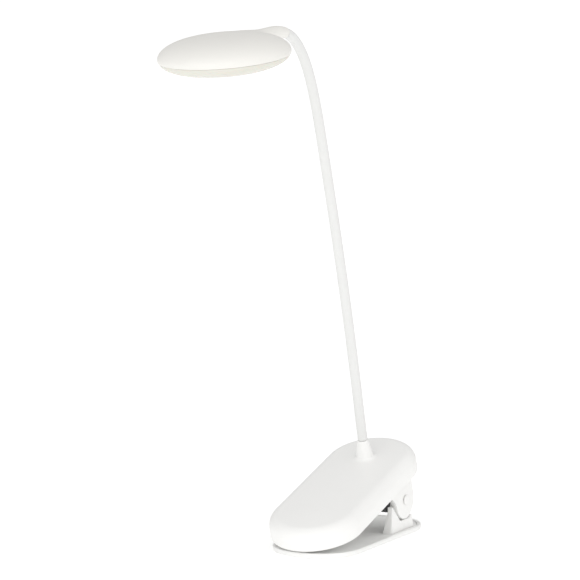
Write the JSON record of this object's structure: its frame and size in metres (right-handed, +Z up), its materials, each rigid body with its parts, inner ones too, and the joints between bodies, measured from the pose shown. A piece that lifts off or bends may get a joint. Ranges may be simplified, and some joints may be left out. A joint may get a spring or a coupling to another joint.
{
  "type": "clip on reading lamp",
  "caption": "Spring clip lamp: tapering clip base that holds the battery, slim flexible neck and a round disc head with a bulged diffuser underneath.",
  "frame": {"origin": "middle of the lower jaw's flat underside, on the surface the lamp stands on", "axes": "+Z up, +X across the jaws, -Y towards the jaw tips and the lamp head; the X = 0 plane is the plane of symmetry"},
  "size_m": [0.0878, 0.2975, 0.3686],
  "materials": {
    "white_plastic": "white satin moulded ABS, fine texture",
    "grey_pad": "light grey matt soft pad",
    "sleeve": "white satin silicone sleeve",
    "diffuser": "milky cream diffuser, satin",
    "steel": "bright zinc-plated steel",
    "spring_steel": "dark oiled spring steel",
    "brass": "turned brass",
    "board_green": "green solder mask",
    "board_white": "white-masked aluminium board",
    "chip_black": "black epoxy",
    "cell_silver": "silver pouch foil",
    "led_yellow": "yellow phosphor"
  },
  "bodies": {
    "lower_jaw": {"lower_jaw": "white_plastic", "lower_jaw_pad": "grey_pad", "hinge_pin": "white_plastic", "pin_clip": "spring_steel", "torsion_spring_right": "spring_steel", "torsion_spring_left": "spring_steel"},
    "upper_jaw": {"upper_shell": "white_plastic", "jaw_cover": "white_plastic", "upper_jaw_pad": "grey_pad", "cover_screw_1": "steel", "cover_screw_2": "steel", "cover_screw_3": "steel", "cover_screw_4": "steel", "battery_cell": "cell_silver", "control_board": "board_green", "driver_chip": "chip_black", "touch_spring": "brass", "charging_board": "board_green", "charging_socket": "steel", "base_ferrule": "steel", "base_nut": "brass", "neck_sleeve_1": "sleeve", "neck_core_1": "steel"},
    "neck_1": {"neck_sleeve_2": "sleeve", "neck_core_2": "steel"},
    "neck_2": {"neck_sleeve_3": "sleeve", "neck_core_3": "steel"},
    "neck_3": {"neck_sleeve_4": "sleeve", "neck_core_4": "steel"},
    "neck_4": {"neck_sleeve_5": "sleeve", "neck_core_5": "steel"},
    "neck_5": {"neck_sleeve_6": "sleeve", "neck_core_6": "steel"},
    "neck_6": {"neck_sleeve_7": "sleeve", "neck_core_7": "steel"},
    "neck_7": {"neck_sleeve_8": "sleeve", "neck_core_8": "steel"},
    "head": {"head_shell": "white_plastic", "diffuser": "diffuser", "led_board": "board_white", "head_ferrule": "brass", "led_1": "led_yellow", "led_2": "led_yellow", "led_3": "led_yellow", "led_4": "led_yellow", "led_5": "led_yellow", "led_6": "led_yellow", "head_screw_1": "steel", "head_screw_2": "steel", "head_screw_3": "steel", "neck_sleeve_9": "sleeve", "neck_core_9": "steel"}
  },
  "joints": [
    {"name": "clip_hinge", "type": "hinge", "parent": "lower_jaw", "child": "upper_jaw", "pos_m": [0, 0.03284, 0.02519], "axis": [1, 0, 0], "range_deg": [-28, 0], "stiffness_Nm_per_rad": 1.2, "springref_deg": 51.57, "deforming": ["torsion_spring_right", "torsion_spring_left"]},
    {"name": "neck_bend_1", "type": "hinge", "parent": "upper_jaw", "child": "neck_1", "pos_m": [0, 0.0191, 0.08183], "axis": [1, 0, 0], "range_deg": [-40, 40]},
    {"name": "neck_sway_2", "type": "hinge", "parent": "neck_1", "child": "neck_2", "pos_m": [0, 0.00524, 0.13546], "axis": [0, 0.9652, 0.2615], "range_deg": [-35, 35]},
    {"name": "neck_bend_3", "type": "hinge", "parent": "neck_2", "child": "neck_3", "pos_m": [0, -0.00869, 0.18466], "axis": [-1, 0, 0], "range_deg": [-40, 40]},
    {"name": "neck_sway_4", "type": "hinge", "parent": "neck_3", "child": "neck_4", "pos_m": [0, -0.02243, 0.22948], "axis": [0, -0.953, -0.303], "range_deg": [-35, 35]},
    {"name": "neck_bend_5", "type": "hinge", "parent": "neck_4", "child": "neck_5", "pos_m": [0, -0.0356, 0.27001], "axis": [1, 0, 0], "range_deg": [-40, 40]},
    {"name": "neck_bend_6", "type": "hinge", "parent": "neck_5", "child": "neck_6", "pos_m": [0, -0.04796, 0.30631], "axis": [-1, 0, 0], "range_deg": [-40, 40]},
    {"name": "head_sway_7", "type": "hinge", "parent": "neck_6", "child": "neck_7", "pos_m": [0, -0.06215, 0.33725], "axis": [0, 0.8536, 0.5209], "range_deg": [-35, 35]},
    {"name": "head_tilt_8", "type": "hinge", "parent": "neck_7", "child": "head", "pos_m": [0, -0.08236, 0.35881], "axis": [1, 0, 0], "range_deg": [-40, 40]}
  ]
}
